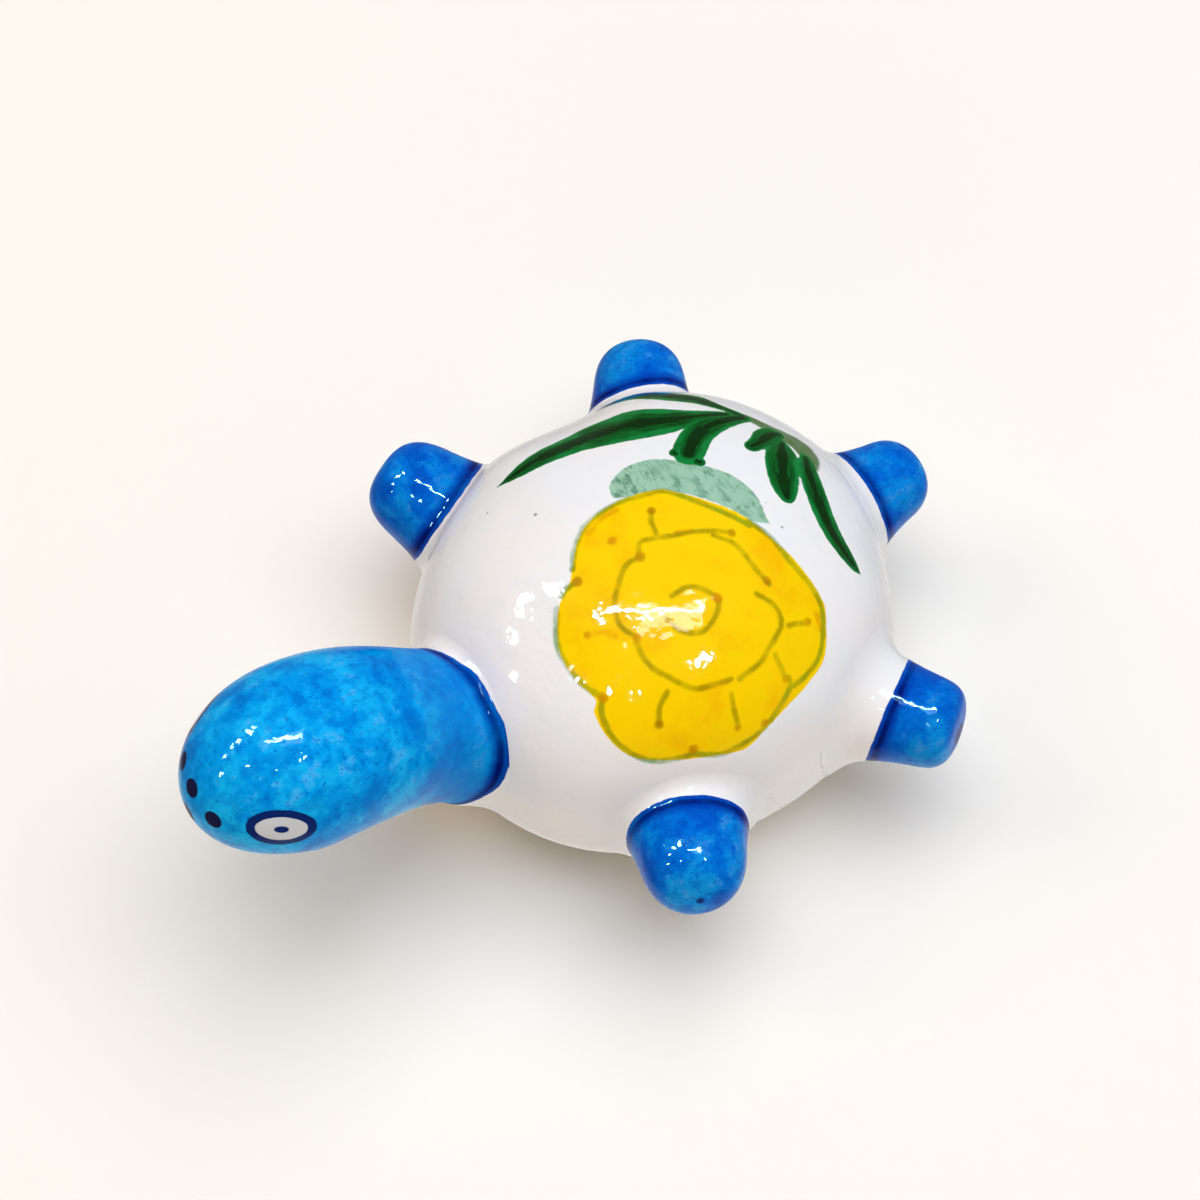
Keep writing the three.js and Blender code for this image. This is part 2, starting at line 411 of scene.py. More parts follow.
def inside(places, start):
    """Whether points seen from above are inside a closed outline: a line from the point toward +X
    crosses it an odd number of times. Start holds the outline's points."""
    end = np.roll(start, -1, 0)
    x, y = places[:, :1], places[:, 1:2]
    spans = (start[:, 1] > y) != (end[:, 1] > y)
    rise = end[:, 1] - start[:, 1]
    crossing = start[:, 0] + (y - start[:, 1]) / np.where(rise == 0, 1, rise) * (end[:, 0] - start[:, 0])
    return ((spans & (crossing > x)).sum(1) % 2 == 1) & (places[:, 2] > SEAM_HEIGHT)


# Plan points round the edge of the yellow
YELLOW_EDGE = [
    (-5.5, 4.5), (-1.5, 8), (4, 12), (9.5, 14), (14.5, 15.5), (19.5, 16), (22, 15), (26, 12), (28, 7.5),
    (29, 4), (30, -0.5), (30.5, -5), (28, -12.5), (24.5, -18.5), (21, -21), (17, -21.5), (15.5, -20.5),
    (12, -21.5), (8, -21.5), (4.5, -20), (1.5, -17.5), (0, -15), (-2.3, -12.9), (-4.9, -10.5), (-6.8, -7),
    (-7.2, -2.2), (-6.5, 1.5),
]
# Plan points of the brush lines: round the outer petals, then the inner petals and their creases
OUTER_PETALS = [
    [(-1.5, -13.5), (-4, -11.5), (-6.5, -8), (-7, -3), (-6, 1.5), (-5, 4.5), (-1, 7.5), (3.5, 10.5),
     (6, 12)],
    [(5.5, 12.5), (9.5, 14), (13.5, 14.5), (18.5, 15.5), (22, 14.5), (25.5, 11.5), (27, 8), (27.5, 5.5)],
    [(26.5, 5.5), (27.5, 5), (29, 2), (30, -1.5), (30, -5.5), (29.5, -8.5), (28, -11.5)],
    [(28, -11.5), (26.6, -15.3), (24.6, -18.3), (21.2, -20.5), (17.7, -20.7), (16, -19.7)],
    [(16, -19.5), (13, -21), (9, -21.5), (6, -21), (3.5, -19.5), (2, -18.5)],
    [(0.5, -14), (0.5, -16), (1, -17)],
]
INNER_PETALS = [
    [(2, -4.5), (0.5, -3), (2, 1), (3.5, 5), (4.5, 7), (6, 9)],
    [(5, 6.5), (8, 8.5), (12, 9), (15, 9.5)],
    [(2.5, -4.5), (2.5, -7), (4.5, -9.5), (6.5, -11.5), (9.5, -12.5), (12.5, -11.5)],
    [(13, -12), (16, -12), (19, -10.5), (22, -8), (23, -5), (23.5, -2.5)],
    [(24, -1.5), (23.5, 2.5), (22.5, 4.5), (20.5, 8), (18, 8.5), (15.5, 7)],
    [(10, -4), (10, -1.5), (11, 0), (13.5, 1.5), (15.5, 0), (16.5, -3), (15, -5.5), (12.5, -6.5)],
]
PETAL_CREASES = [
    [(-3, 1), (-1.5, 0), (0.5, -0.5)],
    [(20.5, -11.5), (21.5, -13.5), (23, -14.5)],
    [(25, -3.5), (26.5, -4), (28.5, -4.5)],
    [(21, 9), (21.5, 12)],
    [(23.5, 5), (26, 5)],
]
# Faint amber lines, where the brush was nearly dry
AMBER_LINES = [
    [(8, -17), (9, -15), (10.5, -14)],
    [(-5, -8.5), (-6, -6), (-6, -3)],
    [(21, 14), (23, 13.5)],
    [(22.5, -7), (23, -5.5), (23.5, -3.5)],
    [(2, 2), (3, 4)],
]
# Where the loaded brush touched down or lifted off: plan point and radius
BRUSH_ENDS = [
    (0.5, -14, 0.85), (16, -19.5, 0.85), (27.5, -11.5, 0.8), (29.5, -0.5, 0.7), (26.5, 5, 0.7),
    (6, 9, 0.75), (14.5, 9.5, 0.7), (2.5, -4.5, 0.9), (12.5, -11.5, 0.8), (13.5, 1.5, 0.85),
    (-3, 1, 0.75), (-2, -6.5, 0.8), (23, -14.5, 0.75), (28.5, -4.5, 0.6), (21.5, 12, 0.75), (8, -17, 0.6),
]
# Spine points of each leaf from above, with the half width of the brush
LEAVES = [
    [(-22.7, -13.4, 0), (-22.3, -9.3, 1.5), (-22, -4.5, 2.4), (-21.6, 0, 3), (-21.2, 3, 3.8),
     (-20, 6.3, 4), (-18.3, 9.7, 3.8), (-16.8, 13, 3.1), (-15.6, 16.7, 1.8), (-14.1, 21.8, 0.8)],
    [(-28.2, 7.6, 0.2), (-27.4, 10.4, 1.3), (-25.8, 13, 2), (-23.9, 15.3, 2.4), (-21.7, 17.7, 2.4),
     (-19.8, 19.6, 2), (-17.5, 21, 1.3), (-15.3, 22.5, 0.9), (-12.9, 23.9, 0.9)],
    [(-12.7, 23.8, 1.3), (-12.9, 20.7, 1.8), (-12.7, 17.4, 2.3), (-11.8, 14.9, 2.4), (-10.2, 12.7, 2.5),
     (-9.2, 11.6, 2.4)],
    [(-10.4, 9.8, 0.8), (-8.7, 10.9, 1), (-6.8, 12.1, 0.8)],
    [(-7.8, 27, 1), (-8, 26, 1.7), (-7.5, 24.4, 2), (-6.7, 22.5, 1.5), (-6.4, 21, 1.2)],
    [(-5.9, 26.3, 0.8), (-3.9, 24.9, 2.4), (-1.4, 23.2, 2.8), (1.4, 21.5, 2.4), (3.4, 20.6, 1.6),
     (4.5, 19.9, 0.4)],
    [(-2.2, 28.1, 1.1), (0.8, 26.6, 1.9), (5.5, 25.2, 2.1), (11.4, 24.3, 2), (15.3, 24.4, 1.3),
     (17.6, 24.9, 0)],
]
STEM = [[(-15.4, 22.5, 0.6), (-11.9, 24.9, 1.1), (-9.6, 26.2, 1.4), (-7.2, 27.8, 1.9), (-5, 29, 2.4),
         (-2.9, 29, 2.2), (-0.6, 28.3, 1.2)]]
SEPAL = [[(-8.5, -1.5, 0.8), (-9, 0.5, 2.3), (-9, 3, 2.9), (-8, 5.5, 3.1), (-6, 8, 3), (-4, 10, 3),
          (-1.5, 12, 3), (1.5, 13.5, 2.5), (4.5, 14, 1.6), (7, 15, 0)]]
OUTLINE_BRUSH = 0.54
PETAL_BRUSH = 0.52


def with_brush(lines, half_width):
    """Lines as strokes of one brush."""
    return [np.column_stack([line, np.full(len(line), half_width)]) for line in lines]


def leaf_marks(places):
    """The leaves and their stem at points on the dome: millimetres from a brush's edge, and for the
    leaves also across and along the brush."""
    marks = {}
    marks["leaf"], marks["leaf_across"], marks["leaf_along"] = brushed(places, LEAVES)
    marks["stem"] = brushed(places, STEM)[0]
    return marks


def flower_marks(places):
    """The flower at points on the dome, as millimetres from a brush's edge."""
    marks = {}
    loop = YELLOW_EDGE + YELLOW_EDGE[:1]
    border = brushed(places, with_brush([loop], 0))[0]
    marks["yellow"] = np.where(inside(places, painted_path(loop)[:-1]), -1, 1) * np.maximum(border, 0)
    marks["outline"] = brushed(places, with_brush(OUTER_PETALS, OUTLINE_BRUSH))[0]
    marks["petals"] = brushed(places, with_brush(INNER_PETALS + PETAL_CREASES, PETAL_BRUSH))[0]
    marks["amber"] = brushed(places, with_brush(AMBER_LINES, PETAL_BRUSH))[0]
    ends = on_dome(np.array(BRUSH_ENDS))
    radii = np.array(BRUSH_ENDS)[:, 2]
    marks["ends"] = (np.linalg.norm(places[:, None] - ends, axis=-1) - radii).min(1)
    marks["sepal"], _, marks["sepal_along"] = brushed(places, SEPAL)
    return marks


YELLOW = (0.96, 0.645, 0, 1)
DEEP_YELLOW = (0.93, 0.49, 0, 1)
OLIVE_LINE = (0.31, 0.24, 0, 1)
GREEN_LINE = (0.2, 0.36, 0.14, 1)
LIME_LINE = (0.3, 0.36, 0.005, 1)
AMBER_LINE = (0.72, 0.28, 0, 1)
RUST_END = (0.42, 0.2, 0, 1)
LEAF_GREEN = (0, 0.115, 0.017, 1)
LEAF_LIGHT = (0.004, 0.24, 0.05, 1)
LEAF_DARK = (0, 0.012, 0.001, 1)
STEM_OLIVE = (0.055, 0.155, 0.02, 1)
SEPAL_GREEN = (0.26, 0.53, 0.36, 1)
SEPAL_SPECK = (0.01, 0.16, 0.075, 1)


def flower_colours(glaze, ground):
    """The flower in the order it was laid down: sepal, yellow petals, then their lines. Each brush edge
    is made ragged by noise, and thin paint lets the colour under it through."""
    ragged = (glaze.clouds(1.3, 3) - 0.5) * 0.5
    load = glaze.clouds(5, 3, 0.6).rising(0.34, 0.66)
    sepal = (glaze.mark("sepal") + ragged).falling(-0.12, 0.12)
    streak = glaze.clouds(1.2, 4, 0.7, glaze.stretched((0.5, 1, 0.8)))
    dregs = streak.rising(0.47, 0.63) * (0.28 + 0.5 * load + 0.4 * glaze.mark("sepal_along").falling(1, 9))
    green = (dregs * 0.85).coat(SEPAL_GREEN, SEPAL_SPECK)
    colour = (sepal * (0.75 + 0.3 * streak)).coat(ground, green)
    yellow = (glaze.mark("yellow") + ragged * 0.6).falling(-0.08, 0.08)
    amber = glaze.clouds(7, 4, 0.6).rising(0.47, 0.72) * 0.75
    colour = yellow.coat(colour, amber.coat(YELLOW, DEEP_YELLOW))
    dry = glaze.clouds(3.4, 4, 0.6).rising(0.32, 0.6)
    faint = (glaze.mark("amber") + ragged * 0.8).falling(-0.4, 0.2) * (0.25 + 0.35 * dry)
    colour = faint.coat(colour, AMBER_LINE)
    outline = (glaze.mark("outline") + ragged * 0.8).falling(-0.35, 0.15) * (0.5 + 0.4 * dry)
    colour = outline.coat(colour, yellow.coat(GREEN_LINE, load.coat(OLIVE_LINE, LIME_LINE)))
    petals = (glaze.mark("petals") + ragged * 0.8).falling(-0.4, 0.15) * (0.4 + 0.42 * dry)
    colour = petals.coat(colour, OLIVE_LINE)
    ends = (glaze.mark("ends") + ragged).falling(-0.35, 0.2) * (0.5 + 0.35 * dry)
    return ends.coat(colour, load.coat(RUST_END, AMBER_LINE))


def leaf_colours(glaze, under):
    """The leaves over their thin stem: long brush hairs leave a dark streak down the middle of a leaf,
    and the paint pales toward its edges."""
    ragged = (glaze.clouds(1.3, 3) - 0.5) * 0.5
    load = glaze.clouds(4.5, 3).rising(0.32, 0.68)
    stem = (glaze.mark("stem") + ragged).falling(-0.5, 0.3) * (0.88 + 0.12 * load)
    colour = stem.coat(under, STEM_OLIVE)
    across = glaze.mark("leaf_across")
    parts = {"X": glaze.mark("leaf_along") * 0.00016, "Y": across * 0.0024, "Z": 0.0}
    brush_way = glaze.node("ShaderNodeCombineXYZ", {}, parts)
    hair = glaze.clouds(1.0, 3, 0.6, brush_way)
    streak = (across + (hair - 0.5) * 1.5).falling(0.15, 0.6)
    pale = (across + (hair - 0.5) * 1.4 + (load - 0.5) * 0.3).rising(0.55, 0.95)
    green = (streak * 0.85).coat((pale * 0.8).coat(LEAF_GREEN, LEAF_LIGHT), LEAF_DARK)
    leaf = (glaze.mark("leaf") + ragged * 0.8).falling(-0.1, 0.1)
    return leaf.coat(colour, green)


carapace_glaze, glaze = new_glaze("carapace_glaze")
colour = leaf_colours(glaze, flower_colours(glaze, white_ground(glaze)))
glaze.fire(colour, glaze.gloss())

even = dome_rings(margin=0, rows=130)
outer = even + swell(even)[..., None] * facing(even)
inner = dome_rings(margin=-SHELL_WALL, rows=16)[::-1]
grid = np.concatenate([outer, inner])
top = np.array([[0, 0, SEAM_HEIGHT + DOME_RISE]])
hollow_top = top - (0, 0, SHELL_WALL)
places = np.concatenate([top, grid.reshape(-1, 3), hollow_top])
normals = np.concatenate([facing(outer), facing(inner)]).reshape(-1, 3)
normals = np.concatenate([[(0, 0, 1)], normals, [(0, 0, -1)]])
quads = ring_quads(len(grid), SHELL_TURNS, closed=False)[:, ::-1] + 1
last = len(places) - 1
top_fan = fan(0, 1, SHELL_TURNS)[:, ::-1]
triangles = np.concatenate([top_fan, fan(last, last - SHELL_TURNS, SHELL_TURNS)])
# The paint is laid out on the even dome, so that no swell draws it out of shape
painted = places.copy()
painted[1:1 + even.size // 3] = even.reshape(-1, 3)
marks = {**flower_marks(painted), **leaf_marks(painted)}
make_piece("carapace", places, normals, quads, triangles, marks, carapace_glaze, "white_glaze")

# Head and neck
# A solid piece rolled and bent by hand and luted to the front of the shell, with the slip smoothed out
# into a fillet. It is dipped in blue to a cobalt band round the neck, and has painted eyes and nostrils.
NECK_BASE = (-34.4, 16.9)
BROW = (-55.6, 52.2)
NOSE = (-75.67, 33.8)
NECK_RADIUS = 9.8
HEAD_RADIUS = 13.65
CROWN_DISTANCE = 34.6
NOSE_BLUNTNESS = 2.2
# How far along the neck the band is in its middle, and how much farther for each millimetre upward, to
# the left and, besides that, to the right
NECK_BAND = 4.7
NECK_BAND_RISE = 0.57
NECK_BAND_TURN = -0.05
FAR_BAND_TURN = 0.25
# How thick the slip is over the neck's top, its right shoulder and its left one, and how fast it fades
TOP_FLARE = 1.9
FAR_FLARE = 1.0
SHOULDER_FLARE = 1.6
FLARE_FADE = 5.0
NECK_FILLET = 2.4
HEAD_TURNS = 200
SEAT_DEPTH = 0.25
LIP_SINK = 0.07
ROOT_HALVINGS = 40
LIP_HALVINGS = 30


def body_field(places):
    """About the distance to the skin of the body, less than 0 inside it. Above the seam it comes from
    the dome's superellipse, below it from the belly's ellipse: value less one, over its slope."""
    x, y, z = np.moveaxis(places, -1, 0)
    out = np.maximum(np.hypot(x, y * SHELL_HALF_WIDTH / SHELL_HALF_LENGTH), 1e-6)
    lean = np.hypot(x, y * (SHELL_HALF_WIDTH / SHELL_HALF_LENGTH) ** 2) / out
    above = z > SEAM_HEIGHT
    foot = np.where(above, 0, FOOT_HALF_WIDTH)
    wide = SHELL_HALF_WIDTH - foot
    tall = np.where(above, DOME_RISE, SEAM_HEIGHT)
    power = np.where(above, DOME_FULLNESS, 2)
    sideways = np.maximum(out - foot, 0) / wide
    upright = np.abs(z - SEAM_HEIGHT) / tall
    size = np.maximum((sideways ** power + upright ** power) ** (1 / power), 1e-6)
    slope_out = (sideways / size) ** (power - 1) / wide * lean
    slope_up = (upright / size) ** (power - 1) / tall
    return (size - 1) / np.hypot(slope_out, slope_up) - swell(places)


def slope_of(field, places):
    """The slope of a field at points, from its change over a short step each way along each axis."""
    step = 0.02
    sides = [field(places + step * axis) - field(places - step * axis) for axis in np.eye(3)]
    return np.stack(sides, -1) / (2 * step)


def settled(field, places, rounds=8):
    """Points moved along the slope of a field until it is 0 there."""
    for _ in range(rounds):
        slope = slope_of(field, places)
        steepness = np.maximum((slope ** 2).sum(-1), 0.05)
        places = places - (field(places) / steepness)[..., None] * slope
    return places


def out_of_body(places):
    """The way straight out of the body at points, as unit vectors."""
    return unit(slope_of(body_field, places))


def luted(field, skin_at, tip, rings_to_root, fillet, lip_rows=16):
    """A piece joined to the body by a fillet of slip. Its own skin runs in rings from its tip to where
    each line along it meets the body; from there a lip follows the body out to where the fillet, a
    smooth least of the two fields, ends. All of it settles on that fillet, the lip's edge sinks a little
    into the body so that no step shows there, and the last ring goes under the body's skin to a seat."""
    deep = np.full(rings_to_root.shape[1], rings_to_root[-1, 0])
    shallow = rings_to_root[0]
    for _ in range(ROOT_HALVINGS):
        middle = (deep + shallow) / 2
        buried = body_field(skin_at(middle[None])[0]) < 0
        deep = np.where(buried, middle, deep)
        shallow = np.where(buried, shallow, middle)
    root = (deep + shallow) / 2
    share = (rings_to_root - rings_to_root[:1]) / (rings_to_root[-1:] - rings_to_root[:1])
    own_skin = skin_at(rings_to_root[:1] + share * (root - rings_to_root[:1]))
    meeting = own_skin[-1]
    up = out_of_body(meeting)
    outward = slope_of(field, meeting)
    outward = unit(outward - (outward * up).sum(-1, keepdims=True) * up)
    near = np.zeros(len(root))
    far = np.full(len(root), 5 * fillet)
    for _ in range(LIP_HALVINGS):
        middle = (near + far) / 2
        within = field(settled(body_field, meeting + middle[:, None] * outward, rounds=4)) < fillet
        near = np.where(within, middle, near)
        far = np.where(within, far, middle)
    lip_share = np.linspace(0, 1, lip_rows + 1)[1:, None, None]
    lip = settled(body_field, meeting + lip_share * far[None, :, None] * outward, rounds=4)

    def filleted(points):
        """The lesser of the two fields, less the square of their overlap over four fillets."""
        one = body_field(points)
        other = field(points)
        overlap = np.maximum(fillet - np.abs(one - other), 0)
        return np.minimum(one, other) - overlap ** 2 / (4 * fillet)

    joined = (body_field(own_skin) < fillet).any(1).argmax()
    blended = settled(filleted, np.concatenate([own_skin[joined:], lip]))
    blended[-lip_rows:] -= LIP_SINK * lip_share ** 3 * out_of_body(blended[-lip_rows:])
    grid = np.concatenate([own_skin[:joined], blended])
    normals = -facing(grid)
    normals[joined:] = unit(slope_of(filleted, blended))
    sunk = grid[-1] - SEAT_DEPTH * out_of_body(grid[-1])
    seat = sunk.mean(0)
    turns = grid.shape[1]
    places = np.concatenate([tip[None], grid.reshape(-1, 3), sunk, seat[None]])
    inward = unit(seat - tip)
    normals = np.concatenate([-inward[None], normals.reshape(-1, 3), normals[-1], inward[None]])
    quads = ring_quads(len(grid) + 1, turns, closed=False) + 1
    last = len(places) - 1
    triangles = np.concatenate([fan(0, 1, turns), fan(last, last - turns, turns)[:, ::-1]])
    return places, normals, quads, triangles


# The centre line is a Bezier curve from the neck's base past the brow to the nose, whose first two
# control points are both the base. It is then stepped evenly, with its direction at each step.
CURVE_SAMPLES = 241
CENTRE_STEPS = 121
share = np.linspace(0, 1, CURVE_SAMPLES)[:, None]
line = (1 - share) ** 2 * (1 + 2 * share) * np.array(NECK_BASE)
line = line + 3 * (1 - share) * share ** 2 * np.array(BROW) + share ** 3 * np.array(NOSE)
run = np.concatenate([[0], np.cumsum(np.linalg.norm(np.diff(line, axis=0), axis=1))])
NECK_LENGTH = run[-1]
CENTRE_RUN = np.linspace(0, NECK_LENGTH, CENTRE_STEPS)
CENTRE_LINE = np.column_stack([np.interp(CENTRE_RUN, run, column) for column in line.T])
CENTRE_WAY = unit(np.gradient(CENTRE_LINE, axis=0, edge_order=2))


def neck_flare(distance, over, side):
    """How far the slip smoothed up from the band thickens the neck: over its top, and more on the left
    shoulder than on the right, dying away along it. Over and side are the way out from the centre line,
    a unit vector."""
    past_band = np.maximum(distance - NECK_BAND - NECK_BAND_RISE * NECK_RADIUS * over, 0)
    left = np.maximum(over + side, 0) / math.sqrt(2)
    right = np.maximum(over - side, 0) / math.sqrt(2)
    thick = TOP_FLARE * (1 + over) / 2 + SHOULDER_FLARE * left ** 4 + FAR_FLARE * right ** 4
    return np.exp(-past_band / FLARE_FADE) * thick


def head_radius(distance, over, side):
    """The radius along the centre line: a flare at the root, a smooth rise from the neck to the crown,
    then a rounded nose. Behind its base the neck closes as a ball."""
    root = NECK_RADIUS + neck_flare(distance, over, side)
    neck = root + (HEAD_RADIUS - NECK_RADIUS) * smooth_rise(distance, 0, CROWN_DISTANCE)
    share = np.clip((distance - CROWN_DISTANCE) / (NECK_LENGTH - CROWN_DISTANCE), 0, 1)
    ball = np.sqrt(np.maximum(root ** 2 - distance ** 2, 0))
    return np.where(distance < 0, ball, neck * np.sqrt(1 - share ** NOSE_BLUNTNESS))


def centre_at(along):
    """The centre line's point and direction at distances along it."""
    centre = np.stack([np.interp(along, CENTRE_RUN, column) for column in CENTRE_LINE.T], -1)
    way = np.stack([np.interp(along, CENTRE_RUN, column) for column in CENTRE_WAY.T], -1)
    return centre, unit(way)


def head_place(places):
    """Where points lie along the centre line, away from it, and above it in the middle plane: from the
    nearest of the line's points, moved along it until the way to the point is square to the line."""
    apart = ((places[..., None, 1:] - CENTRE_LINE) ** 2).sum(-1)
    along = CENTRE_RUN[apart.argmin(-1)]
    for _ in range(3):
        held = np.clip(along, 0, NECK_LENGTH)
        centre, way = centre_at(held)
        offset = places[..., 1:] - centre
        along = held + (offset * way).sum(-1)
    over = offset[..., 0] * way[..., 1] - offset[..., 1] * way[..., 0]
    return along, np.hypot(places[..., 0], over), over


def head_field(places):
    """About the distance to the skin of the head and neck, less than 0 inside."""
    along, away, over = head_place(places)
    out = over / np.maximum(away, 1e-6), places[..., 0] / np.maximum(away, 1e-6)
    step = 0.2
    slope = (head_radius(along + step, *out) - head_radius(along - step, *out)) / (2 * step)
    skin = (away - head_radius(along, *out)) / np.sqrt(1 + slope ** 2)
    ball = np.hypot(away, along) - NECK_RADIUS - neck_flare(along, *out)
    return np.where(along < 0, ball, skin)


def head_skin(along):
    """Points on the skin at distances along the centre line, one column for each step round it."""
    turn = np.linspace(0, 2 * np.pi, HEAD_TURNS, endpoint=False)
    centre, way = centre_at(np.clip(along, 0, NECK_LENGTH))
    centre = centre + np.minimum(along, 0)[..., None] * way
    radius = head_radius(along, np.cos(turn), np.sin(turn))
    over = radius * np.cos(turn)
    return np.stack([radius * np.sin(turn), centre[..., 0] + over * way[..., 1],
                     centre[..., 1] - over * way[..., 0]], -1)


COBALT = (0, 0.035, 0.36, 1)
# Navy paint for the dots on the limbs' ends, and painted shade for the crease line inside each band
NAVY = (0, 0.006, 0.13, 1)
HEAD_BLUES = dict(wash=(0, 0.32, 0.82, 1), pale=(0.006, 0.46, 0.92, 1), deep=(0, 0.15, 0.6, 1))
MILKY_BLUE = (0.1, 0.48, 0.9, 1)
BLUE_SHINE = (0.4, 0.8, 1, 1)
# The share of the blue glaze that mirrors nothing, and how much more of it by the band on the neck
BLUE_CALM = 0.4
NECK_CALM = 0.45
EYE_WHITE = (0.62, 0.66, 0.71, 1)
EYE_RING = (0.003, 0.018, 0.14, 1)
EYE_CENTRE = (10.7, -69.1, 43.6)
EYE_LENGTH_WAY = (0.46, 0.86, -0.2)
EYE_HEIGHT_WAY = (-0.21, 0.33, 0.92)
EYE_HALF_LENGTH = 5.0
EYE_HALF_HEIGHT = 3.35
EYE_WHITE_SHARE = 0.73
EYE_WHITE_FLATNESS = 1.13
PUPIL_SHARE = 0.21
NOSTRILS = [(-0.6, -76.9, 45.1), (4.6, -76.6, 43.6), (-5.2, -75.6, 44.4), (0.0, -78.3, 40.1)]
NOSTRIL_RADIUS = 1.45
NOSTRIL_INK = (0.006, 0.006, 0.05, 1)


def blue_colours(glaze, ground, wash, pale, deep):
    """The blue glaze from its band onward: a wash that pools deep or thins pale, with milky flakes, dark
    grain drawn out by the brush, and a cobalt band whose ragged edge meets the white, with a navy line
    of painted shade just inside it where the crease between the piece and the body runs."""
    edge = glaze.mark("blue") + (glaze.clouds(1.2, 2) - 0.5) * 0.25 + (glaze.clouds(6, 2) - 0.5) * 0.6
    along_brush = glaze.stretched((1, 0.5, 0.8))
    tone = glaze.clouds(8, 6, 0.7)
    flake = glaze.clouds(2.0, 4, 0.7, along_brush)
    grain = glaze.clouds(0.5, 3, 0.7, along_brush)
    colour = tone.rising(0.46, 0.58).coat(wash, pale)
    colour = (tone.falling(0.38, 0.47) * 0.7).coat(colour, deep)
    colour = (flake.rising(0.56, 0.6) * tone.rising(0.46, 0.54) * 0.45).coat(colour, MILKY_BLUE)
    colour = (flake.falling(0.41, 0.46) * 0.4).coat(colour, deep)
    colour = (grain.rising(0.55, 0.66) * 0.75).coat(colour, deep)
    colour = (glaze.mark("blue").falling(3, 22) * 0.5).coat(colour, deep)
    pooled = glaze.clouds(7, 2).rising(0.35, 0.65)
    colour = (edge.falling(1.5, 2.9) * (0.6 + 0.3 * pooled)).coat(colour, COBALT)
    # A navy line just inside the band's edge: painted shade of the crease where the piece meets the body
    line = edge.rising(0.4, 0.75) * edge.falling(1.1, 1.7)
    colour = (line * (0.45 + 0.5 * pooled)).coat(colour, NAVY)
    return edge.rising(-0.08, 0.08).coat(ground, colour)


def face_colours(glaze, under):
    """The painted face: on each side an eye, a dark ring round a white with a pupil, which are ellipses
    in the plane that touches the head there, and the nostril dots."""
    place = glaze.place()
    parts = {axis: place.axis(axis) for axis in "XYZ"}
    parts["X"] = glaze.maths("ABSOLUTE", parts["X"], 0.0)
    folded = glaze.node("ShaderNodeCombineXYZ", {}, parts)
    offset = glaze.vector("SUBTRACT", folded, tuple(MM * value for value in EYE_CENTRE))
    length = glaze.vector("DOT_PRODUCT", offset, EYE_LENGTH_WAY, "Value") * (1 / (EYE_HALF_LENGTH * MM))
    height = glaze.vector("DOT_PRODUCT", offset, EYE_HEIGHT_WAY, "Value") * (1 / (EYE_HALF_HEIGHT * MM))
    wobble = (glaze.clouds(1.6, 2) - 0.5) * 0.06
    out = glaze.maths("POWER", length * length + height * height, 0.5) + wobble
    colour = out.falling(0.97, 1.02).coat(under, EYE_RING)
    height = height * EYE_WHITE_FLATNESS
    out = glaze.maths("POWER", length * length + height * height, 0.5) + wobble
    colour = out.falling(EYE_WHITE_SHARE - 0.02, EYE_WHITE_SHARE + 0.02).coat(colour, EYE_WHITE)
    colour = out.falling(PUPIL_SHARE - 0.02, PUPIL_SHARE + 0.03).coat(colour, EYE_RING)
    for nostril in NOSTRILS:
        away = glaze.vector("DISTANCE", place, tuple(MM * value for value in nostril), "Value")
        dot = (away * (1 / MM) + wobble * 2).falling(NOSTRIL_RADIUS - 0.15, NOSTRIL_RADIUS + 0.1)
        colour = dot.coat(colour, NOSTRIL_INK)
    return colour


head_glaze, glaze = new_glaze("head_glaze")
colour = face_colours(glaze, blue_colours(glaze, white_ground(glaze), **HEAD_BLUES))
calm = BLUE_CALM + NECK_CALM * glaze.mark("blue").falling(4, 20)
calm = calm * glaze.mark("blue").rising(-0.5, 0.5)
glaze.fire(colour, glaze.gloss(), BLUE_SHINE, calm)

NOSE_ROWS = 70
NECK_ROWS = 90
nose_angle = np.linspace(np.pi / 2, 0, NOSE_ROWS)[1:]
nose_rows = CROWN_DISTANCE + (NECK_LENGTH - CROWN_DISTANCE) * np.sin(nose_angle)
neck_rows = np.linspace(CROWN_DISTANCE, -NECK_RADIUS, NECK_ROWS)[1:]
head_rings = np.repeat(np.concatenate([nose_rows, neck_rows])[:, None], HEAD_TURNS, 1)
nose_tip = np.array([0, *CENTRE_LINE[-1]])
places, *faces = luted(head_field, head_skin, nose_tip, head_rings, NECK_FILLET)
along, _, over = head_place(places)
side = places[:, 0]
leaning = over * NECK_BAND_RISE + side * NECK_BAND_TURN - np.minimum(side, 0) * FAR_BAND_TURN
marks = {"blue": along - NECK_BAND - leaning}
make_piece("head_and_neck", places, *faces, marks, head_glaze, "blue_glaze")

# Legs and tail
# Five solid stubs, thimble-shaped, luted round the seam of the shell with the slip smoothed out into
# a flare. Each is dipped in blue to a cobalt band near its root, and has a dark dot on its end.
LIMB_TAPER = 0.08
ROOT_FLARE = 1.6
FLARE_LENGTH = 4.8
FLARE_DEPTH = 3
ROOT_DEPTH = 8
LIMB_TURNS = 128
LIMB_ROWS = 40
DOT_DROP = 0.8
SMALL_DOT = 0.65
FRONT_LEG = dict(tilt=16.7, rise=3.4, stand_out=14.08, waist=8.1, tip=7.8, fullness=2.85, fillet=2.1)
REAR_LEG = dict(tilt=6.7, rise=2.7, stand_out=13.88, waist=7.5, tip=6.6, fullness=2.7, fillet=2.9)
REAR_LEG_BLUNT = {**REAR_LEG, "tip": 5.2, "fullness": 3.4, "dot": 1.9}
TAIL = dict(tilt=4.7, rise=4.8, stand_out=10.88, waist=6.5, tip=5.3, fullness=2.36, fillet=1.8)
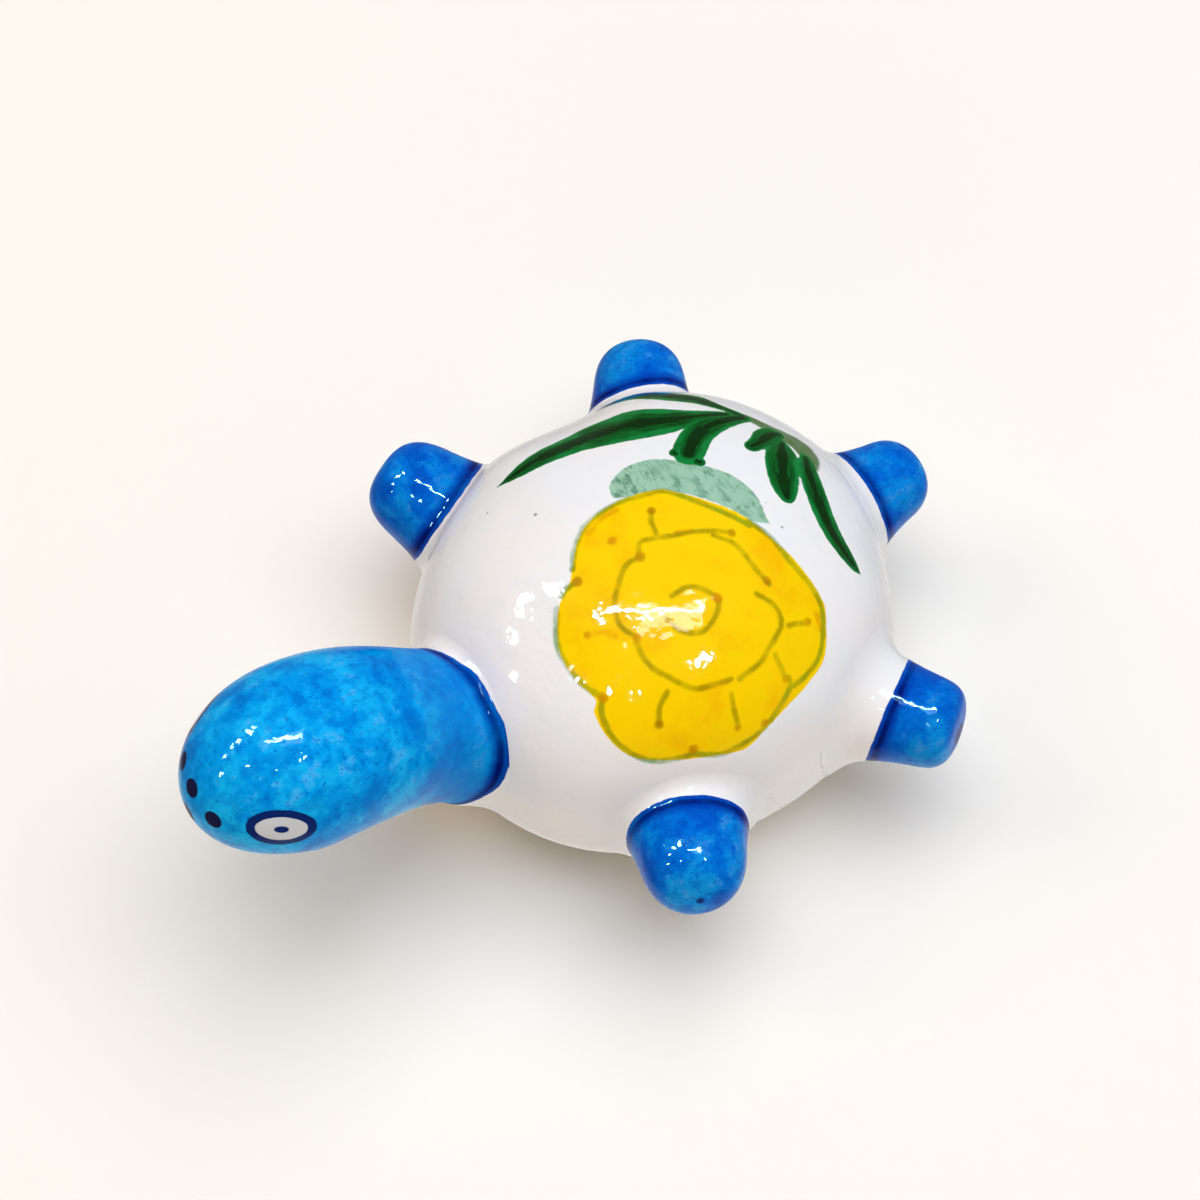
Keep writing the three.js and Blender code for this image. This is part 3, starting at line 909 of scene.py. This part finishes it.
# A band is so far along a limb in its middle, and leans so much for each millimetre upward or sideways
LIMBS = {
    "front_left_leg": dict(bearing=64.6, band=1.6, up_lean=0.08, **FRONT_LEG),
    "front_right_leg": dict(bearing=-63.1, band=1.5, up_lean=-0.03, **FRONT_LEG),
    "rear_left_leg": dict(bearing=123.8, band=2.7, up_lean=0.2, **REAR_LEG_BLUNT),
    "rear_right_leg": dict(bearing=-120.1, band=2.8, up_lean=0, side_lean=-0.18, **REAR_LEG),
    "tail": dict(bearing=180, band=-0.9, up_lean=0.05, **TAIL),
}
LIMB_BLUES = dict(wash=(0, 0.21, 0.77, 1), pale=(0.005, 0.39, 0.89, 1), deep=(0, 0.07, 0.48, 1))

limb_glaze, glaze = new_glaze("limb_glaze")
colour = blue_colours(glaze, leaf_colours(glaze, white_ground(glaze)), **LIMB_BLUES)
end_dot = glaze.mark("end_dot").falling(0.75, 1.1)
colour = (end_dot * 0.9).coat(colour, NAVY)
calm = glaze.mark("blue").rising(-0.5, 0.5) * BLUE_CALM
glaze.fire(colour, glaze.gloss(), BLUE_SHINE, calm)

for name, limb in LIMBS.items():
    bearing = math.radians(limb["bearing"])
    tilt = math.radians(limb["tilt"])
    level = np.array([math.sin(bearing), -math.cos(bearing), 0])
    skin = 1 / math.hypot(level[0] / SHELL_HALF_WIDTH, level[1] / SHELL_HALF_LENGTH)
    start = skin * level + (0, 0, SEAM_HEIGHT + limb["rise"])
    way = math.cos(tilt) * level + (0, 0, math.sin(tilt))
    side = np.array([math.cos(bearing), math.sin(bearing), 0])
    upward = np.cross(way, side)

    def limb_radius(height):
        """The radius at a height along the limb: a tapering waist with a flare that dies away up the
        limb, closed by a rounded end."""
        flare = ROOT_FLARE * np.exp(-np.maximum(height, -FLARE_DEPTH) / FLARE_LENGTH)
        share = np.clip((height - limb["stand_out"] + limb["tip"]) / limb["tip"], 0, 1)
        end = np.maximum(1 - share ** limb["fullness"], 0) ** (1 / limb["fullness"])
        return (limb["waist"] - LIMB_TAPER * height + flare) * end

    def limb_field(points):
        """About the distance to the limb's own skin, less than 0 inside."""
        offset = points - start
        height = offset @ way
        away = np.sqrt(np.maximum((offset ** 2).sum(-1) - height ** 2, 1e-9))
        step = 0.05
        slope = (limb_radius(height + step) - limb_radius(height - step)) / (2 * step)
        return (away - limb_radius(height)) / np.sqrt(1 + slope ** 2)

    def limb_skin(height):
        """Points on the limb's skin at heights along it, one column for each step round it."""
        turn = np.linspace(0, 2 * np.pi, LIMB_TURNS, endpoint=False)
        radius = limb_radius(height)[..., None]
        across = np.cos(turn)[:, None] * upward + np.sin(turn)[:, None] * side
        return start + height[..., None] * way + radius * across

    end_angle = np.linspace(np.pi / 2, 0, LIMB_ROWS)[1:]
    end_rows = limb["stand_out"] - limb["tip"] + limb["tip"] * np.sin(end_angle) ** (2 / limb["fullness"])
    side_rows = np.linspace(end_rows[-1], -ROOT_DEPTH, LIMB_ROWS)[1:]
    rings = np.repeat(np.concatenate([end_rows, side_rows])[:, None], LIMB_TURNS, 1)
    tip = start + limb["stand_out"] * way
    places, *faces = luted(limb_field, limb_skin, tip, rings, limb["fillet"])
    lean = limb.get("side_lean", 0) * side + limb["up_lean"] * upward
    # A leaf that runs on over the slip keeps the line it has on the even dome beside it
    on_slip = body_field(places)[:, None] < limb["fillet"]
    on_shell = settled(body_field, np.where(on_slip, places, tip), rounds=6)
    marks = leaf_marks(on_shell - swell(on_shell)[:, None] * out_of_body(on_shell))
    marks["blue"] = (places - start) @ (way - lean) - limb["band"]
    from_dot = np.linalg.norm(places - tip + DOT_DROP * upward, axis=1)
    marks["end_dot"] = from_dot / limb.get("dot", SMALL_DOT)
    make_piece(name, places, *faces, marks, limb_glaze, "blue_glaze")

# Floor, lamps and camera
# A plain pale sheet of paper under soft studio light: cloths overhead and to the sides give the light,
# and a bright strip overhead and small window panes give the glaze something to mirror.
FLOOR_COLOUR = (0.909, 0.884, 0.813, 1)
FLOOR_HALF_SIZE = 4
FLOOR_ROUGHNESS = 0.95
FLOOR_SHEEN = 0.1
floor_mesh = bpy.data.meshes.new("floor")
corners = FLOOR_HALF_SIZE * np.array([(-1, -1, 0), (1, -1, 0), (1, 1, 0), (-1, 1, 0)])
floor_mesh.from_pydata(corners.tolist(), [], [(0, 1, 2, 3)])
floor = bpy.data.objects.new("floor", floor_mesh)
scene.collection.objects.link(floor)
paper = new_glaze("paper")[0]
shader = paper.node_tree.nodes["Principled BSDF"]
shader.inputs["Base Color"].default_value = FLOOR_COLOUR
shader.inputs["Roughness"].default_value = FLOOR_ROUGHNESS
shader.inputs["Specular IOR Level"].default_value = FLOOR_SHEEN
floor_mesh.materials.append(paper)
floor.visible_glossy = False


def aimed(back, roll=0.0):
    """The rotation of a lamp or camera that looks against a direction, with level sides, then rolled."""
    right = unit(np.cross((0, 0, 1), back))
    turned = Matrix(np.column_stack([right, np.cross(back, right), back]).tolist())
    return turned @ Matrix.Rotation(math.radians(roll), 3, "Z")


def from_bearing(bearing, height):
    """The direction at a bearing from the head, toward the tortoise's left, and a height, in degrees."""
    b, h = math.radians(bearing), math.radians(height)
    return np.array([math.sin(b) * math.cos(h), -math.cos(b) * math.cos(h), math.sin(h)])


LAMP_DISTANCE = 2.4
COOL_LIGHT = (0.94, 1, 1.11)
WARM_LIGHT = (1, 0.74, 0.48)
# Bearing, height, width, height of the lamp itself, and shine, which is its brightness
PANES = {
    "overhead_strip": (-123, 88, 1.2, 0.12, 140),
    "overhead_box": (150, 83, 0.56, 0.8, 8),
    "left_pane": (-61, 57, 0.24, 0.32, 120),
    "left_low_pane": (-45, 47, 0.18, 0.24, 120),
    "middle_pane": (-30, 38, 0.18, 0.24, 120),
    "front_low_pane": (-12, 28, 0.16, 0.26, 120),
    "front_pane": (8, 52, 0.16, 0.16, 120),
    "near_pane": (55, 55, 0.1, 0.1, 120),
    "right_pane": (101, 58, 0.2, 0.2, 120),
}
CLOTHS = {
    "overhead_cloth": (-170, 79, 2.7, 2.7, 2.75),
    "right_cloth": (130, 35, 1.6, 1.6, 0.9),
    "left_cloth": (-45, 42, 1.2, 1.2, 2.9),
    "near_cloth": (45, 14, 2.4, 0.8, 2.1),
}
WARM_LAMPS = ["left_cloth", "near_cloth"]
for name, (bearing, height, wide, tall, shine) in {**PANES, **CLOTHS}.items():
    data = bpy.data.lights.new(name, "AREA")
    data.shape = "RECTANGLE"
    data.size = wide
    data.size_y = tall
    data.color = WARM_LIGHT if name in WARM_LAMPS else COOL_LIGHT
    data.energy = shine * math.pi * wide * tall
    direction = from_bearing(bearing, height)
    light = bpy.data.objects.new(name, data)
    place = Matrix.Translation((LAMP_DISTANCE * direction).tolist())
    light.matrix_world = place @ aimed(direction).to_4x4()
    light.visible_glossy = name in PANES
    light.visible_diffuse = name in CLOTHS
    scene.collection.objects.link(light)

# The room is dim all round, and pale looking steeply down, where the glaze's rims mirror the paper. Its
# shades blend over these heights of a unit direction.
PAPER_EDGE = (-0.8, -0.5)
ROOM_EDGE = (0.0, 0.06)
ROOM_HIGH = (0.12, 0.09, 0.06, 1)
ROOM_LOW = (0.16, 0.145, 0.125, 1)
PAPER_BELOW = (0.75, 0.72, 0.69, 1)
world = bpy.data.worlds.new("room")
world.use_nodes = True
room = Glaze(world.node_tree)
height = room.node("ShaderNodeTexCoord", {}, {}, "Generated").axis("Z")
below = height.rising(*PAPER_EDGE).coat(PAPER_BELOW, ROOM_LOW)
colour = height.rising(*ROOM_EDGE).coat(below, ROOM_HIGH)
world.node_tree.links.new(colour.socket, world.node_tree.nodes["Background"].inputs["Color"])
scene.world = world

IMAGE_WIDTH = 1200
FOCAL_PIXELS = 3382
SENSOR_WIDTH = 36
CAMERA_TARGET = np.array([-6.09, -5.82, 22.36])
CAMERA_DISTANCE = 510.9
CAMERA_BEARING = 57.1
CAMERA_HEIGHT = 60.4
CAMERA_ROLL = 0.21
back = from_bearing(CAMERA_BEARING, CAMERA_HEIGHT)
camera_data = bpy.data.cameras.new("camera")
camera_data.sensor_width = SENSOR_WIDTH
camera_data.lens = SENSOR_WIDTH * FOCAL_PIXELS / IMAGE_WIDTH
camera = bpy.data.objects.new("camera", camera_data)
eye = (CAMERA_TARGET + CAMERA_DISTANCE * back) * MM
camera.matrix_world = Matrix.Translation(eye.tolist()) @ aimed(back, CAMERA_ROLL).to_4x4()
scene.collection.objects.link(camera)
scene.camera = camera
scene.view_settings.view_transform = "Standard"
